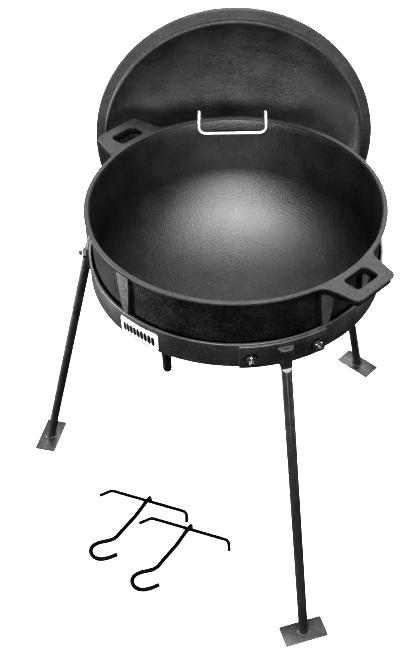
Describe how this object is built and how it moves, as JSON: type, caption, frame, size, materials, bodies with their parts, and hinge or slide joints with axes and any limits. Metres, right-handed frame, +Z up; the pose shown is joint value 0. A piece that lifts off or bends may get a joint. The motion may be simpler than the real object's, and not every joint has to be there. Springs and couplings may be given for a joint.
{
  "type": "outdoor cooking pot on a stand",
  "caption": "Round cast-iron pot on a splayed ring stand, with its domed lid hung on the rim by a wire hanger, and T-handled lifting hooks for moving it.",
  "frame": {"origin": "centre of the kit's bounding box on the floor it stands on", "axes": "+Z up; -Y is the front, with the lifting hooks and the label; the lid hangs at +Y"},
  "size_m": [0.798, 0.8716, 0.934],
  "materials": {
    "cast_iron": "seasoned, fine pebbled sand-cast skin",
    "stand_paint": "satin black paint on steel",
    "bolt_steel": "dark oiled steel with bright worn edges",
    "hook_steel": "black painted bent rod",
    "chrome": "bright plated wire",
    "label": "satin white plate with a plain dark device"
  },
  "bodies": {
    "stand": {"stand_ring": "stand_paint", "leg_bracket_front": "stand_paint", "leg_front": "stand_paint", "foot_plate_front": "stand_paint", "bracket_bolt_front_a": "bolt_steel", "bracket_bolt_front_b": "bolt_steel", "bracket_nut_front_a": "bolt_steel", "bracket_nut_front_b": "bolt_steel", "leg_bracket_left": "stand_paint", "leg_left": "stand_paint", "foot_plate_left": "stand_paint", "bracket_bolt_left_a": "bolt_steel", "bracket_bolt_left_b": "bolt_steel", "bracket_nut_left_a": "bolt_steel", "bracket_nut_left_b": "bolt_steel", "leg_bracket_back": "stand_paint", "leg_back": "stand_paint", "foot_plate_back": "stand_paint", "bracket_bolt_back_a": "bolt_steel", "bracket_bolt_back_b": "bolt_steel", "bracket_nut_back_a": "bolt_steel", "bracket_nut_back_b": "bolt_steel", "label_plate": "label"},
    "pot": {"pot": "cast_iron"},
    "lid": {"lid": "cast_iron", "lid_handle": "cast_iron", "lid_handle_bolt_a": "bolt_steel", "lid_handle_bolt_b": "bolt_steel", "lid_handle_nut_a": "bolt_steel", "lid_handle_nut_b": "bolt_steel", "lid_hanger": "chrome"},
    "hook_a": {"hook_a_bar": "hook_steel", "hook_a_shank": "hook_steel"},
    "hook_b": {"hook_b_bar": "hook_steel", "hook_b_shank": "hook_steel"}
  },
  "joints": [
    {"name": "pot_lift", "type": "slide", "parent": "stand", "child": "pot", "axis": [0, 0, 1], "range_m": [0, 0.3]},
    {"name": "lid_lift", "type": "slide", "parent": "pot", "child": "lid", "axis": [0, 0, 1], "range_m": [0, 0.38]},
    {"name": "hook_a_lift", "type": "slide", "parent": "stand", "child": "hook_a", "axis": [0, 0, 1], "range_m": [0, 0.25]},
    {"name": "hook_b_lift", "type": "slide", "parent": "stand", "child": "hook_b", "axis": [0, 0, 1], "range_m": [0, 0.25]}
  ]
}
